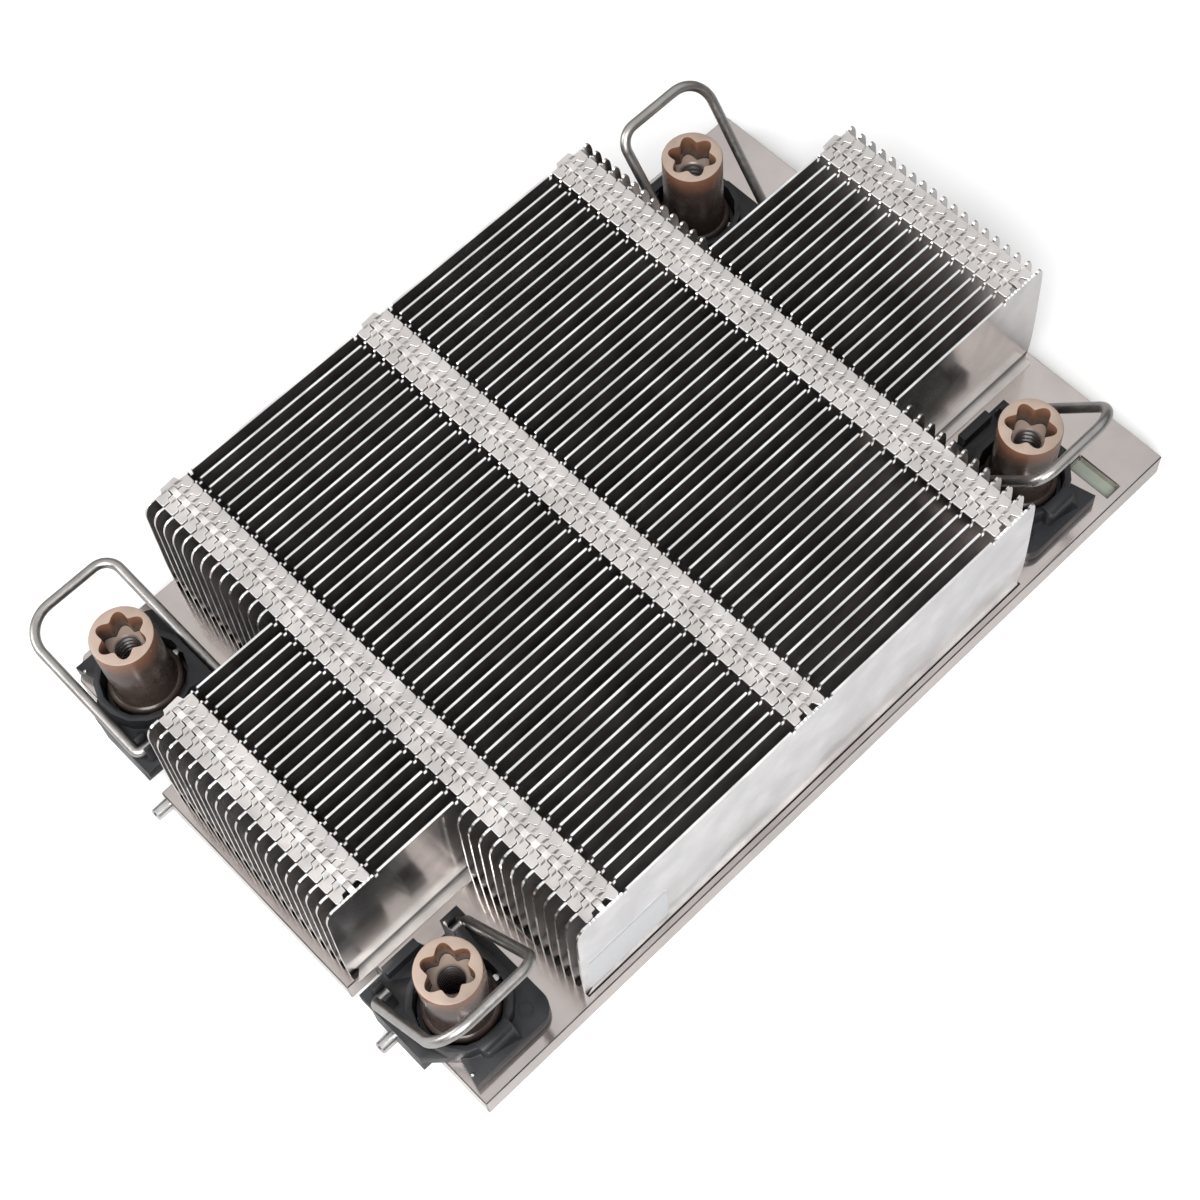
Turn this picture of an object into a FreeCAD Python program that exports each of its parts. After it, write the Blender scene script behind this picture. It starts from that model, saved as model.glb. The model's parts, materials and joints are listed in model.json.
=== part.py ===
"""Passive heatsink for a one-unit server processor.

A nickel-plated base plate carries a stack of folded fins whose top tabs hook over
each other. Four captive nuts stand in plastic holders at the corners of the plate,
and each holder carries a steel wire bail that swings over its nut.

X runs along the fins, Y across them and Z up. The origin is at the middle of the
plate's underside. All sizes are in millimetres.
"""
import FreeCAD, Part
import math
import os

Vec = FreeCAD.Vector
ORIGIN = Vec(0, 0, 0)
X_AXIS = Vec(1, 0, 0)
Y_AXIS = Vec(0, 1, 0)
Z_AXIS = Vec(0, 0, 1)

# Base plate
PLATE_LENGTH = 118.0
PLATE_WIDTH = 78.0
PLATE_THICK = 4.0
TONGUE_REACH = 2.3
TONGUE_HALF = 17.4
CORNER_CUT = 2.5
NOTCH_DEPTH = 1.9
NOTCH_END = 30.0
HOLE_RADIUS = 5.3
SLOT_LENGTH = 6.4
SLOT_WIDTH = 2.3
SLOT_CENTRE = (50.8, -34.7)

# Fin stack
FIN_COUNT = 44
LONG_FINS = range(14, 33)
FIN_PITCH = 1.75
FIN_SHEET = 0.3
FIN_TOP = 24.5
FIRST_FIN_Y = 37.6
SEAM = 0.1
SHORT_FIN_ENDS = (-41.9, 33.6)
LONG_FIN_ENDS = (-60.0, 58.8)
END_SLANT = 2.4
SLANT_DROP = 3.0
TAB_WIDTH = 4.9
TAB_STARTS = (-39.5, -7.0, 26.4)
END_TAB_STARTS = (-57.5, 51.9)
HOOK_WIDTH = 1.5
HOOK_RISE = 0.4
HOOK_REACH = 0.7
RIGHT_END_SLANTS = ((0.0, 4.5), (0.35, 2.1), (1.2, 0.0))

# Captive nuts
NUTS_MIDDLE_X = -5.3
NUT_SPACING_X = 96.0
NUT_SPACING_Y = 58.0
NUT_FOOT_Z = 1.0
NUT_TOP_Z = 20.0
NUT_RADIUS = 4.0
THREAD_RADIUS = 1.65
DRIVE_DEPTH = 3.6
DRIVE_LOBES = 6
DRIVE_TIP_RADIUS = 3.15
DRIVE_VALLEY_RADIUS = 2.25
DRIVE_TIP_WIDTH = 0.9
DRIVE_VALLEY_WIDTH = 0.9

# Nut holders, in their own frame: U points outwards along X and V outwards along Y
HOLDER_FLOOR = 2.0
HOLDER_IN = 7.7
HOLDER_OUT = 8.2
HOLDER_BACK = 9.4
HOLDER_LOBE = 2.6
POINTED_CORNER = ((5.2, HOLDER_OUT), (4.3, 4.4), (HOLDER_IN, 1.2))
BACK_NOTCH = ((-1.4, -HOLDER_BACK), (-2.0, -7.8), (-4.4, -7.8), (-5.0, -HOLDER_BACK))
WELL_SIDES = 16
WELL_HALF = 5.4
WALL_HALF = 6.2
WALL_TOP_Z = 8.6
TOWER_THICK = 1.3
TOWER_HALF = 1.7
TOWER_SLANT = 0.6
TOWER_GAP = 0.15
SLOT_CLEARANCE = 0.08
SLOT_PINCH = 0.08
CRADLE_ANGLE = 60
LIP_HALF = 2.3
LIP_THICK = 1.7
LIP_TOP_Z = 9.2
REAR_RIB = ((-1.2, -HOLDER_BACK, PLATE_THICK), (3.9, -8.2, 8.0))
CLIP_THICK = 2.1
CLIP_SPAN = (-7.5, 0.9)

# Wire bails
WIRE_RADIUS = 0.62
WIRE_SIDES = 8
HINGE_V = -7.0
HINGE_Z = 6.9
BAIL_REACH = 22.8
BAIL_HALF = 7.1
PIVOT_LENGTH = 2.1
INNER_BEND = 2.4
OUTER_BEND = 4.6
BEND_STEPS = 3

# Each corner: the sides that it lies on, and its bail's angle above level in degrees
CORNERS = {
    "left": (-1, 1, 6.2),
    "top": (1, 1, 55.8),
    "bottom": (-1, -1, 51.1),
    "right": (1, -1, 51.1),
}

# Dowel pins in the plate's short edge
PIN_RADIUS = 0.85
PIN_SIDES = 8
PIN_LENGTH = 2.3
PIN_PLACES = ((-61.0, -25.0, 2.4), (-61.3, 16.4, 2.2))


def box(corner, far_corner):
    """Return the block between two opposite corners."""
    low = Vec(*map(min, corner, far_corner))
    high = Vec(*map(max, corner, far_corner))
    return Part.makeBox(high.x - low.x, high.y - low.y, high.z - low.z, low)


def outline(points):
    """Return a closed flat face through the given points."""
    return Part.Face(Part.makePolygon([Vec(*point) for point in points + points[:1]]))


def cylinder(radius, low, high, x=0.0, y=0.0):
    """Return an upright cylinder between two heights."""
    return Part.makeCylinder(radius, high - low, Vec(x, y, low))


def many_sided(half_width, sides, low, high):
    """Return an upright prism of a regular polygon, given half its width over the flats."""
    corner = half_width / math.cos(math.pi / sides)
    points = []
    for side in range(sides):
        angle = 2 * math.pi * (side + 0.5) / sides
        points.append((corner * math.cos(angle), corner * math.sin(angle), low))
    return outline(points).extrude(Z_AXIS * (high - low))


def nut_axis(side_x, side_y):
    """Return the place of one nut's axis on the underside."""
    return Vec(NUTS_MIDDLE_X + side_x * NUT_SPACING_X / 2, side_y * NUT_SPACING_Y / 2, 0)


def at_corner(shape, side_x, side_y):
    """Mirror a shape from the holder's own frame to its corner of the plate."""
    if side_x < 0:
        shape = shape.mirror(ORIGIN, X_AXIS)
    if side_y < 0:
        shape = shape.mirror(ORIGIN, Y_AXIS)
    return shape.translated(nut_axis(side_x, side_y))


def base_plate():
    """The plate, with its tongue, edge notches, nut holes and slot."""
    half_x = PLATE_LENGTH / 2
    half_y = PLATE_WIDTH / 2
    blank = box((-half_x, -half_y, 0), (half_x, half_y, PLATE_THICK))
    tongue = box((-half_x - TONGUE_REACH, -TONGUE_HALF, 0), (-half_x, TONGUE_HALF, PLATE_THICK))
    plate = blank.fuse(tongue)
    corner = [(-half_x, half_y, 0), (-half_x + CORNER_CUT, half_y, 0), (-half_x, half_y - CORNER_CUT, 0)]
    cuts = [outline(corner).extrude(Z_AXIS * PLATE_THICK)]
    for side in (-1, 1):
        near = side * TONGUE_HALF
        far = side * NOTCH_END
        cuts.append(box((-half_x - 1, near, 0), (-half_x + NOTCH_DEPTH, far, PLATE_THICK)))
    for side_x, side_y, _ in CORNERS.values():
        axis = nut_axis(side_x, side_y)
        cuts.append(cylinder(HOLE_RADIUS, 0, PLATE_THICK, axis.x, axis.y))
    slot_x, slot_y = SLOT_CENTRE
    cuts.append(box((slot_x - SLOT_WIDTH / 2, slot_y - SLOT_LENGTH / 2, 0),
                    (slot_x + SLOT_WIDTH / 2, slot_y + SLOT_LENGTH / 2, PLATE_THICK)))
    return plate.cut(cuts).removeSplitter()


def hook(middle, seam_y):
    """The raised tongue by which one tab grips the next across their seam."""
    start = middle - HOOK_WIDTH / 2
    points = [
        (start, seam_y - HOOK_REACH, FIN_TOP),
        (start, seam_y + HOOK_REACH, FIN_TOP),
        (start, seam_y, FIN_TOP + HOOK_RISE),
    ]
    return outline(points).extrude(X_AXIS * HOOK_WIDTH)


def fin(number):
    """One folded fin: a web, a foot on the plate and hooked tabs along the top."""
    y = FIRST_FIN_Y - FIN_PITCH * (number - 1)
    fold_end = y - FIN_PITCH + FIN_SHEET + SEAM
    long_fin = number in LONG_FINS
    left, right = LONG_FIN_ENDS if long_fin else SHORT_FIN_ENDS
    web = [(left, y, PLATE_THICK), (right, y, PLATE_THICK)]
    web += [(right - inset, y, FIN_TOP - drop) for inset, drop in RIGHT_END_SLANTS]
    web += [(left + END_SLANT, y, FIN_TOP), (left, y, FIN_TOP - SLANT_DROP)]
    pieces = [outline(web).extrude(Y_AXIS * FIN_SHEET)]
    tab_starts = () if number == FIN_COUNT else TAB_STARTS
    if long_fin and number + 1 in LONG_FINS:
        tab_starts += END_TAB_STARTS
    if number != FIN_COUNT:
        pieces.append(box((left, y, PLATE_THICK), (right, fold_end, PLATE_THICK + FIN_SHEET)))
    for start in tab_starts:
        pieces.append(box((start, y, FIN_TOP - FIN_SHEET), (start + TAB_WIDTH, fold_end, FIN_TOP)))
        pieces.append(hook(start + TAB_WIDTH / 2, fold_end))
    return pieces[0].fuse(pieces[1:]).removeSplitter() if tab_starts else pieces[0]


def drive_socket():
    """The six-lobed socket in the head of a nut."""
    points = []
    for lobe in range(DRIVE_LOBES):
        for half_turn, radius, width in ((0, DRIVE_TIP_RADIUS, DRIVE_TIP_WIDTH),
                                         (1, DRIVE_VALLEY_RADIUS, DRIVE_VALLEY_WIDTH)):
            middle = math.pi * (2 * lobe + half_turn) / DRIVE_LOBES
            spread = math.asin(width / 2 / radius)
            for angle in (middle - spread, middle + spread):
                points.append((radius * math.cos(angle), radius * math.sin(angle), NUT_TOP_Z))
    return outline(points).extrude(Z_AXIS * -DRIVE_DEPTH)


def captive_nut(side_x, side_y):
    """One nut: a straight sleeve with a threaded bore and a lobed socket."""
    half_section = [
        (THREAD_RADIUS, 0, NUT_FOOT_Z),
        (NUT_RADIUS, 0, NUT_FOOT_Z),
        (NUT_RADIUS, 0, NUT_TOP_Z),
        (THREAD_RADIUS, 0, NUT_TOP_Z),
    ]
    sleeve = outline(half_section).revolve(ORIGIN, Z_AXIS, 360)
    return sleeve.cut(drive_socket()).translated(nut_axis(side_x, side_y))


def bend_points(centre, radius, start_degrees, end_degrees):
    """Return points round a bend of the wire, in the bail's own plane."""
    points = []
    for step in range(BEND_STEPS + 1):
        angle = math.radians(start_degrees + (end_degrees - start_degrees) * step / BEND_STEPS)
        points.append(Vec(centre[0] + radius * math.cos(angle), centre[1] + radius * math.sin(angle), 0))
    return points


def bail_path():
    """Return the wire's centre line, with the hinge axis along U through the origin."""
    inner = (-BAIL_HALF + INNER_BEND, BAIL_REACH - INNER_BEND)
    outer = (BAIL_HALF - OUTER_BEND, BAIL_REACH - OUTER_BEND)
    points = [Vec(-BAIL_HALF + PIVOT_LENGTH, 0, 0), Vec(-BAIL_HALF, 0, 0)]
    points += bend_points(inner, INNER_BEND, 180, 90)
    points += bend_points(outer, OUTER_BEND, 90, 0)
    points += [Vec(BAIL_HALF, 0, 0), Vec(BAIL_HALF - PIVOT_LENGTH, 0, 0)]
    return Part.makePolygon(points)


def wire_section(centre):
    """The wire's section across U, a regular polygon about its centre."""
    points = []
    for side in range(WIRE_SIDES + 1):
        angle = 2 * math.pi * (side + 0.5) / WIRE_SIDES
        points.append(centre + Vec(0, math.cos(angle), math.sin(angle)) * WIRE_RADIUS)
    return Part.makePolygon(points)


def wire_bail(side_x, side_y, angle):
    """One bail, swung up by its angle about the hinge in its holder."""
    path = bail_path()
    sweep = Part.BRepOffsetAPI.MakePipeShell(path)
    sweep.setTransitionMode(1)
    sweep.add(wire_section(path.Vertexes[0].Point))
    sweep.build()
    sweep.makeSolid()
    bail = sweep.shape()
    bail.rotate(ORIGIN, X_AXIS, angle)
    bail.translate(Vec(0, HINGE_V, HINGE_Z))
    return at_corner(bail, side_x, side_y)


def holder_floor():
    """The holder's floor: one rounded lobe, one pointed corner and a notched back."""
    z = PLATE_THICK
    lobe = Vec(HOLDER_LOBE - HOLDER_IN, HOLDER_OUT - HOLDER_LOBE, z)
    lobe_start = lobe - X_AXIS * HOLDER_LOBE
    lobe_middle = lobe + Vec(-1, 1, 0) * (HOLDER_LOBE * math.sqrt(0.5))
    lobe_end = lobe + Y_AXIS * HOLDER_LOBE
    corners = POINTED_CORNER + ((HOLDER_IN, -HOLDER_BACK),) + BACK_NOTCH + ((-HOLDER_IN, -HOLDER_BACK),)
    straight = [lobe_end] + [Vec(u, v, z) for u, v in corners] + [lobe_start]
    edges = [Part.Arc(lobe_start, lobe_middle, lobe_end).toShape()] + Part.makePolygon(straight).Edges
    return Part.Face(Part.Wire(edges)).extrude(Z_AXIS * HOLDER_FLOOR)


def hinge_tower(side):
    """One upright with a round-bottomed slot that a bail's pivot snaps down into."""
    face = side * (BAIL_HALF - WIRE_RADIUS - TOWER_GAP)
    slot = WIRE_RADIUS + SLOT_CLEARANCE
    cradle = math.radians(CRADLE_ANGLE / 2)
    rise = WALL_TOP_Z - HINGE_Z
    half = [
        (slot * math.sin(cradle), -slot * math.cos(cradle)),
        (slot, -slot * math.tan(math.pi / 4 - cradle / 2)),
        (slot - SLOT_PINCH, rise),
        (TOWER_HALF - TOWER_SLANT, rise),
        (TOWER_HALF, 0),
        (TOWER_HALF, PLATE_THICK - HINGE_Z),
    ]
    right = [Vec(face, HINGE_V + v, HINGE_Z + z) for v, z in half]
    left = [Vec(face, HINGE_V - v, HINGE_Z + z) for v, z in half]
    bottom = Part.Arc(left[0], Vec(face, HINGE_V, HINGE_Z - slot), right[0]).toShape()
    edges = [bottom] + Part.makePolygon(right + left[::-1]).Edges
    return Part.Face(Part.Wire(edges)).extrude(X_AXIS * (-side * TOWER_THICK))


def shoulder():
    """The straight inner flank that joins the wall to one hinge tower."""
    back = HINGE_V + TOWER_HALF - TOWER_SLANT
    inner = BAIL_HALF - WIRE_RADIUS - TOWER_GAP - TOWER_THICK
    points = [(0, 0), (-WALL_HALF, 0), (-WALL_HALF, back), (-inner, back), (-inner / 2, -WELL_HALF)]
    return outline([(u, v, PLATE_THICK) for u, v in points]).extrude(Z_AXIS * (WALL_TOP_Z - PLATE_THICK))


def nut_holder(side_x, side_y):
    """One holder: a floor, a wall round the nut, hinge towers, a lip, a rib and an edge clip."""
    lip_start = WALL_HALF - LIP_THICK / 2
    pieces = [many_sided(WALL_HALF, WELL_SIDES, PLATE_THICK, WALL_TOP_Z), shoulder()]
    pieces += [hinge_tower(-1), hinge_tower(1)]
    pieces.append(box((-LIP_HALF, lip_start, PLATE_THICK), (LIP_HALF, lip_start + LIP_THICK, LIP_TOP_Z)))
    pieces.append(box(*REAR_RIB))
    if side_x < 0:
        clip_start, clip_end = CLIP_SPAN
        pieces.append(box((HOLDER_IN, clip_start, 0), (HOLDER_IN - CLIP_THICK, clip_end, PLATE_THICK)))
    well = many_sided(WELL_HALF, WELL_SIDES, PLATE_THICK, LIP_TOP_Z)
    holder = holder_floor().fuse(pieces).cut(well)
    return at_corner(holder.removeSplitter(), side_x, side_y)


def edge_pins():
    """The ends of the two dowel pins that stand out of the short edge."""
    pins = []
    for place in PIN_PLACES:
        pin = many_sided(PIN_RADIUS, PIN_SIDES, 0, PIN_LENGTH)
        pin.rotate(ORIGIN, Y_AXIS, -90)
        pins.append(pin.translated(Vec(*place)))
    return Part.makeCompound(pins)


def build():
    """Return every node of the heatsink by name."""
    nodes = {"base_plate": base_plate()}
    for number in range(1, FIN_COUNT + 1):
        nodes[f"fin_{number:02d}"] = fin(number)
    for name, (side_x, side_y, angle) in CORNERS.items():
        nodes[f"holder_{name}"] = nut_holder(side_x, side_y)
        nodes[f"nut_{name}"] = captive_nut(side_x, side_y)
        nodes[f"bail_{name}"] = wire_bail(side_x, side_y, angle)
    nodes["edge_pins"] = edge_pins()
    return nodes


os.makedirs("parts", exist_ok=True)
for node_name, node_shape in build().items():
    node_shape.exportStep(f"parts/{node_name}.step")
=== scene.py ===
"""Finishes the passive server heatsink: plated base, locked fins, captive nuts and wire bails."""
import json
import math

import bmesh
import bpy
from mathutils import Matrix, Vector, noise


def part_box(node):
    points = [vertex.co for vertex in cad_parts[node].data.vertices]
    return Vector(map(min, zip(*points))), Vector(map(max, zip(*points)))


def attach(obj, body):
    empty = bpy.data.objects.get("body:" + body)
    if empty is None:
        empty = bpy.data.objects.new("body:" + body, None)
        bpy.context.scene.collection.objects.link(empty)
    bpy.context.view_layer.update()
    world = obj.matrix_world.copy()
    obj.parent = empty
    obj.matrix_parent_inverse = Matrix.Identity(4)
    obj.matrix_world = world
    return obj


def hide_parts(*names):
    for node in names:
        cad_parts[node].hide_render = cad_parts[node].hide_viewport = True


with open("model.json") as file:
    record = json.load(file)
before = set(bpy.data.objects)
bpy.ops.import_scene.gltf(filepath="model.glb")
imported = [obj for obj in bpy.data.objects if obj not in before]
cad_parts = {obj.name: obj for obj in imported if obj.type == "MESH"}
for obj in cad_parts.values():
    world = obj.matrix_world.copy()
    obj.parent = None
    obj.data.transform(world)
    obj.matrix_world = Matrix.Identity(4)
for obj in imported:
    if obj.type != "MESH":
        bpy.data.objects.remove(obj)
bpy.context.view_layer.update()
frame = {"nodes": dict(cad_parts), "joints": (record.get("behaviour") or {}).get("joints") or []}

bl_info = {
    "name": "Server heatsink",
    "version": (1, 0, 0),
    "blender": (4, 5, 0),
    "location": "View3D > Sidebar > Heatsink",
    "description": "Builds the finished surfaces of a passive server heatsink",
    "category": "Object",
}

MM = 0.001
BODY = "frame"
X_AXIS = Vector((1, 0, 0))
Y_AXIS = Vector((0, 1, 0))
Z_AXIS = Vector((0, 0, 1))
MERGE = 1e-7  # points nearer than this are one point
SLACK = 1e-6  # room given when two places are compared
FINS = sorted(name for name in frame["nodes"] if name.startswith("fin_"))
CORNERS = ("left", "top", "bottom", "right")
PINNED_CORNERS = ("left", "bottom")
JOINTS = {joint["name"]: joint for joint in frame["joints"]}


# ---------------------------------------------------------------- settings

def length(name, description, default):
    """Return a length property, its default given in millimetres."""
    return bpy.props.FloatProperty(
        name=name, description=description, default=default * MM, min=0, unit="LENGTH", precision=5)


def colour(name, description, default):
    """Return a colour property."""
    return bpy.props.FloatVectorProperty(
        name=name, description=description, default=default, size=3, min=0, max=1, subtype="COLOR")


class FinSettings(bpy.types.PropertyGroup):
    """Sizes and colours of the folded fins."""
    sheet: length("Sheet", "Thickness of the fin sheet", 0.3)
    slit: length("Slit", "Width of the open slits between two tabs", 0.2)
    seam: length("Seam", "Gap where two tabs touch", 0.12)
    tongue_rise: length("Tongue rise", "Height of the tongues above the tabs", 0.34)
    relief_width: length("Relief width", "Width of the notch beside a tab", 0.42)
    relief_depth: length("Relief depth", "Depth of the notch beside a tab", 0.9)
    tooth: length("Tooth", "Width of the tooth between a tab and its notch", 0.32)
    edge: length("Edge rounding", "Rounding of the sheet's cut edges", 0.05)
    tab_colour: colour("Tab colour", "Satin colour of tabs and edges", (0.84, 0.80, 0.77))
    web_colour: colour("Web colour", "Colour of the sheet's broad faces", (0.82, 0.79, 0.775))
    outer_colour: colour("Outer colour", "Colour of the last fin's outer face", (0.80, 0.79, 0.80))
    cut_colour: colour("Cut colour", "Colour of the sheet's sheared edges", (0.96, 0.95, 0.94))
    flange: length("Flange", "Reach of the last fin's short foot", 0.4)
    relief: length("Fold relief", "Corner left off a foot beside its fold", 1.3)
    dish: length("Dish", "Depth of the hollow in a tab", 0.012)
    # painted shade: thickness of the near-black sheet laid at the fins' feet
    bond: length("Shade sheet", "Thickness of the dark bond between fins and plate", 0.05)


class NutSettings(bpy.types.PropertyGroup):
    """Sizes and colours of the captive nuts."""
    radius: length("Radius", "Radius of the nut's head", 4.0)
    collar: length("Collar radius", "Radius of the nut's lower collar", 4.7)
    tip: length("Socket tip", "Radius to the tips of the drive socket", 3.15)
    valley: length("Socket valley", "Radius to the valleys of the drive socket", 2.25)
    depth: length("Socket depth", "Depth of the drive socket", 3.6)
    bore: length("Bore", "Inner radius of the thread", 1.65)
    pitch: length("Thread pitch", "Distance between two turns of the thread", 0.85)
    face_colour: colour("Face colour", "Colour of the nut's turned face", (0.38, 0.29, 0.235))
    side_colour: colour("Side colour", "Colour of the nut's side", (0.046, 0.033, 0.028))
    rim_colour: colour("Rim colour", "Colour where the plastic lets light through", (0.19, 0.09, 0.052))


class BailSettings(bpy.types.PropertyGroup):
    """Sizes and colours of the wire bails."""
    wire: length("Wire radius", "Radius of the wire", 0.69)
    half: length("Half width", "Half the distance between the legs", 7.1)
    reach: length("Reach", "From the hinge to the free end", 22.8)
    pivot: length("Pivot length", "Length of each pivot", 2.1)
    inner_bend: length("Inner bend", "Radius of the bend nearer the fins", 2.4)
    outer_bend: length("Outer bend", "Radius of the bend further from the fins", 4.6)
    steel_colour: colour("Steel colour", "Colour of the wire", (0.45, 0.435, 0.42))


class BaseSettings(bpy.types.PropertyGroup):
    """Finish of the plate and of the holders."""
    edge: length("Plate edge", "Width of the plate's broken edges", 0.14)
    moulded_edge: length("Moulded edge", "Rounding of the holders' edges", 0.14)
    lip_round: length("Lip rounding", "Rounding of the upright edges of the holders' lips", 0.75)
    plate_colour: colour("Plate colour", "Colour of the plated base", (0.675, 0.612, 0.583))
    plastic_colour: colour("Plastic colour", "Colour of the holders", (0.0105, 0.011, 0.0125))
    label_colour: colour("Label colour", "Colour of the blank label", (0.47, 0.475, 0.485))


class StageSettings(bpy.types.PropertyGroup):
    """Floor, lamps and camera."""
    floor_colour: colour("Floor colour", "Colour of the floor", (1.0, 1.0, 1.0))
    mirrored_floor: bpy.props.FloatProperty(
        name="Mirrored floor", description="Brightness of the floor in reflections", default=0.54, min=0,
        max=1, subtype="FACTOR")
    lamp_power: bpy.props.FloatProperty(
        name="Lamp power", description="Power of the large soft lamp", default=5.0, min=0, unit="POWER")
    lens: bpy.props.FloatProperty(
        name="Lens", description="Focal length of the camera", default=69.14, min=1, unit="CAMERA")
    camera_place: bpy.props.FloatVectorProperty(
        name="Camera place", description="Where the camera stands", size=3,
        default=(-0.08183, -0.10380, 0.26480), subtype="TRANSLATION", unit="LENGTH")
    camera_turn: bpy.props.FloatVectorProperty(
        name="Camera turn", description="How the camera is turned", size=3,
        default=tuple(math.radians(a) for a in (25.7743, 3.4104, -43.9798)), subtype="EULER", unit="ROTATION")


# ---------------------------------------------------------------- mesh tools

def new_piece(name, bm, body, materials, replaced=()):
    """Turn a bmesh into a piece of the object that rides on a body."""
    mesh = bpy.data.meshes.new(name)
    bm.to_mesh(mesh)
    bm.free()
    for material in materials:
        mesh.materials.append(material)
    piece = bpy.data.objects.new(name, mesh)
    bpy.context.scene.collection.objects.link(piece)
    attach(piece, body)
    if replaced:
        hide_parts(*replaced)


def prism(bm, points, thickness, material=0):
    """Extrude a flat outline by a vector and return the new faces."""
    face = bm.faces.new([bm.verts.new(point) for point in points])
    grown = bmesh.ops.extrude_face_region(bm, geom=[face])["geom"]
    moved = [item for item in grown if isinstance(item, bmesh.types.BMVert)]
    bmesh.ops.translate(bm, verts=moved, vec=thickness)
    faces = {side for vert in face.verts for side in vert.link_faces}
    faces |= {side for vert in moved for side in vert.link_faces}
    for side in faces:
        side.material_index = material
    return list(faces)


def break_edges(bm, edges, width, segments=1):
    """Bevel the given edges by a small width and return the new faces."""
    return bmesh.ops.bevel(bm, geom=edges, offset=width, offset_type="OFFSET", segments=segments,
                           profile=0.5, affect="EDGES", material=-1, clamp_overlap=True)["faces"]


def sharp_edges(bm, degrees=30):
    """Return the edges where two faces meet at more than an angle."""
    limit = math.radians(degrees)
    return [edge for edge in bm.edges if len(edge.link_faces) == 2 and edge.calc_face_angle(0) > limit]


def close_up(bm):
    """Merge doubled points and turn every face outwards."""
    bmesh.ops.remove_doubles(bm, verts=bm.verts, dist=MERGE)
    bmesh.ops.recalc_face_normals(bm, faces=bm.faces)


def smooth_by_angle(bm, degrees):
    """Shade curved stretches smooth and keep the sharp edges crisp."""
    limit = math.radians(degrees)
    for face in bm.faces:
        face.smooth = True
    for edge in bm.edges:
        edge.smooth = len(edge.link_faces) == 2 and edge.calc_face_angle(0) < limit


def turned(bm, profile, steps, angle=2 * math.pi):
    """Spin a profile of (radius, height) points about Z and return the new points."""
    before = set(bm.verts)
    verts = [bm.verts.new((radius, 0, height)) for radius, height in profile]
    edges = [bm.edges.new(pair) for pair in zip(verts, verts[1:])]
    whole = angle >= 2 * math.pi
    bmesh.ops.spin(bm, geom=verts + edges, cent=(0, 0, 0), axis=Z_AXIS, angle=angle, steps=steps,
                   use_merge=whole, use_normal_flip=False, use_duplicate=False)
    return [vert for vert in bm.verts if vert not in before]


def turned_band(bm, inner, outer, low, high, steps, angle=2 * math.pi):
    """Spin an upright rectangle about Z and return the new points."""
    section = [(inner, low), (outer, low), (outer, high), (inner, high), (inner, low)]
    return turned(bm, section, steps, angle)


def from_node(node):
    """Return a merged copy of a CAD node's mesh with its flat faces joined up."""
    gap, flat = 2e-6, math.radians(1)
    bm = bmesh.new()
    bm.from_mesh(frame["nodes"][node].data)
    bmesh.ops.remove_doubles(bm, verts=bm.verts, dist=gap)
    bmesh.ops.dissolve_limit(bm, angle_limit=flat, verts=bm.verts, edges=bm.edges)
    return bm


def nut_axis(corner):
    """Return the place of a nut's axis on the underside."""
    x, y, _ = JOINTS[f"nut_{corner}_spin"]["pos_m"]
    return Vector((x, y, 0))


# ---------------------------------------------------------------- shader tools

def new_group(name, inputs, outputs):
    """Start a shader node group with float inputs and outputs."""
    group = bpy.data.node_groups.new(name, "ShaderNodeTree")
    for label, default in inputs:
        socket = group.interface.new_socket(label, in_out="INPUT", socket_type="NodeSocketFloat")
        socket.default_value = default
    for label in outputs:
        group.interface.new_socket(label, in_out="OUTPUT", socket_type="NodeSocketFloat")
    return group, group.nodes.new("NodeGroupInput"), group.nodes.new("NodeGroupOutput")


def join(tree, start, end):
    """Link an output socket to an input socket."""
    tree.links.new(start, end)


def object_noise(tree, scale, stretch=(1, 1, 1), detail=4.0):
    """Add noise on object coordinates, stretched along the axes."""
    place = tree.nodes.new("ShaderNodeTexCoord")
    mapping = tree.nodes.new("ShaderNodeMapping")
    mapping.inputs["Scale"].default_value = stretch
    texture = tree.nodes.new("ShaderNodeTexNoise")
    texture.inputs["Detail"].default_value = detail
    join(tree, place.outputs["Object"], mapping.inputs["Vector"])
    join(tree, mapping.outputs["Vector"], texture.inputs["Vector"])
    if isinstance(scale, bpy.types.NodeSocket):
        join(tree, scale, texture.inputs["Scale"])
    else:
        texture.inputs["Scale"].default_value = scale
    return texture.outputs["Fac"]


def spread(tree, value, low, high, out_low=0.0, out_high=1.0):
    """Map a value from one range to another, clamped."""
    node = tree.nodes.new("ShaderNodeMapRange")
    node.inputs["From Min"].default_value = low
    node.inputs["From Max"].default_value = high
    node.inputs["To Min"].default_value = out_low
    node.inputs["To Max"].default_value = out_high
    join(tree, value, node.inputs["Value"])
    return node.outputs["Result"]


def fine_grain_group():
    """Grain for satin surfaces: a fine mask and a height."""
    group, entry, leave = new_group("Fine grain", [("Scale", 900.0)], ["Mask", "Height"])
    grain = object_noise(group, entry.outputs["Scale"], detail=3)
    join(group, spread(group, grain, 0.35, 0.65), leave.inputs["Mask"])
    join(group, grain, leave.inputs["Height"])
    return group


def cloud_group():
    """Slow changes over a surface, as handling and plating leave them."""
    group, entry, leave = new_group("Cloudy", [("Scale", 60.0)], ["Mask"])
    cloud = object_noise(group, entry.outputs["Scale"], detail=5)
    join(group, spread(group, cloud, 0.38, 0.64), leave.inputs["Mask"])
    return group


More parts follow.
